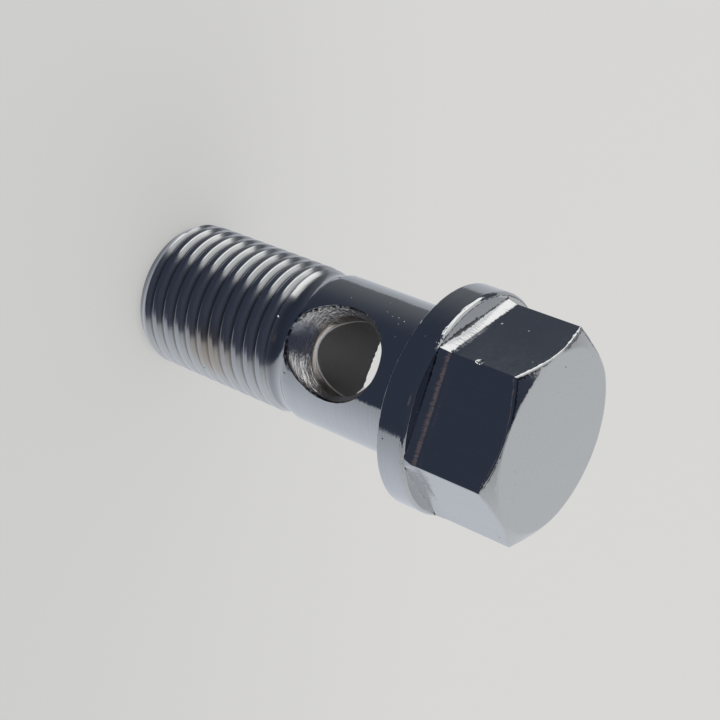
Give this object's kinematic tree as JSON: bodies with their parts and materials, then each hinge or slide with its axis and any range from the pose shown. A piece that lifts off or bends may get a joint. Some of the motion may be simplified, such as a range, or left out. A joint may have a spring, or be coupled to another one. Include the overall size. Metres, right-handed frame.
{
  "type": "banjo bolt",
  "caption": "Hollow screw with a round-collared hexagon head and a fine thread; a countersunk cross hole through its plain shank meets a blind bore from its tip.",
  "frame": {"origin": "on the bolt's axis at the bearing face under the collar, where the banjo fitting's washer seats", "axes": "+Z along the bolt's axis from the hollow threaded end towards the head; the cross hole runs along Y"},
  "size_m": [0.0144, 0.0144, 0.0298],
  "materials": {
    "chrome_plate": "bright chrome plate on steel, handled and lightly nicked"
  },
  "bodies": {
    "root": {"banjo_bolt": "chrome_plate"}
  },
  "joints": []
}
